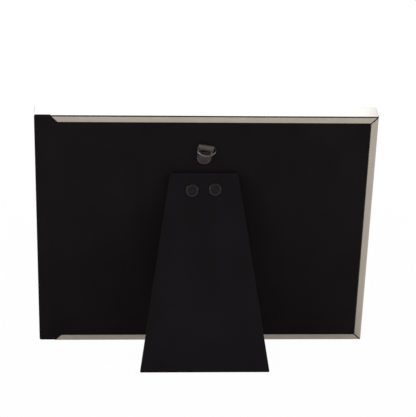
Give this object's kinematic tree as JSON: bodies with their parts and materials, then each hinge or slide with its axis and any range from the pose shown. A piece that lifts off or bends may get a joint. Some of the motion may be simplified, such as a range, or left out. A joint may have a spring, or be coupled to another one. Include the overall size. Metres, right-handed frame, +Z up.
{
  "type": "picture frame",
  "caption": "Landscape metal picture frame with mitred rails, a velvet back panel that slides out, a folding velvet easel leg and a hanging ring on a swivel strap.",
  "frame": {"origin": "centre of the object's box, on the surface that it stands on", "axes": "+X along the frame towards the end where the panel slides out, +Y towards the back, where the leg stands, +Z up"},
  "size_m": [0.216, 0.0914, 0.1619],
  "materials": {
    "nickel_rail": "champagne nickel plate, satin polished",
    "key_metal": "zinc plated",
    "bright_steel": "nickel plated wire and fasteners",
    "hanger_metal": "dark nickel plate",
    "black_metal": "black paint, satin",
    "black_velvet": "short black velvet pile on card",
    "grey_board": "pressed grey board",
    "black_paper": "matt lining paper",
    "white_card": "plain uncoated card",
    "clear_glass": "clear float glass"
  },
  "bodies": {
    "frame": {"top_rail": "nickel_rail", "bottom_rail": "nickel_rail", "closed_end_rail": "nickel_rail", "open_end_rail": "nickel_rail", "corner_key_1": "key_metal", "corner_key_2": "key_metal", "corner_key_3": "key_metal", "corner_key_4": "key_metal", "set_screw_1": "bright_steel", "set_screw_2": "bright_steel", "set_screw_3": "bright_steel", "set_screw_4": "bright_steel", "set_screw_5": "bright_steel", "set_screw_6": "bright_steel", "set_screw_7": "bright_steel", "set_screw_8": "bright_steel", "glass": "clear_glass", "insert_card": "white_card", "filler_board": "grey_board"},
    "back_panel": {"panel_board": "grey_board", "panel_velvet": "black_velvet", "hinge_back_leaf": "black_metal", "hinge_pin": "bright_steel", "leaf_rivet_1": "bright_steel", "leaf_rivet_2": "bright_steel", "hanger_rivet": "hanger_metal"},
    "easel_leg": {"leg_core": "grey_board", "leg_velvet": "black_velvet", "leg_lining": "black_paper", "hinge_leg_leaf": "black_metal", "leg_rivet_1": "black_metal", "leg_rivet_2": "black_metal"},
    "strap": {"hanger_strap": "hanger_metal"},
    "ring": {"hanger_ring": "bright_steel"}
  },
  "joints": [
    {"name": "panel_slide", "type": "slide", "parent": "frame", "child": "back_panel", "axis": [1, 0, 0], "range_m": [0, 0.19]},
    {"name": "leg_fold", "type": "hinge", "parent": "back_panel", "child": "easel_leg", "pos_m": [0.0012, 0.00529, 0.11427], "axis": [-1, 0, 0], "range_deg": [0, 34]},
    {"name": "hanger_swivel", "type": "hinge", "parent": "back_panel", "child": "strap", "pos_m": [0.0014, 0.00905, 0.131], "axis": [0, 0.9563, -0.2924], "range_deg": [-80, 100]},
    {"name": "ring_swing", "type": "hinge", "parent": "strap", "child": "ring", "pos_m": [0.00014, 0.01226, 0.13775], "axis": [0.9857, 0.0493, 0.1611], "range_deg": [0, 160]}
  ]
}
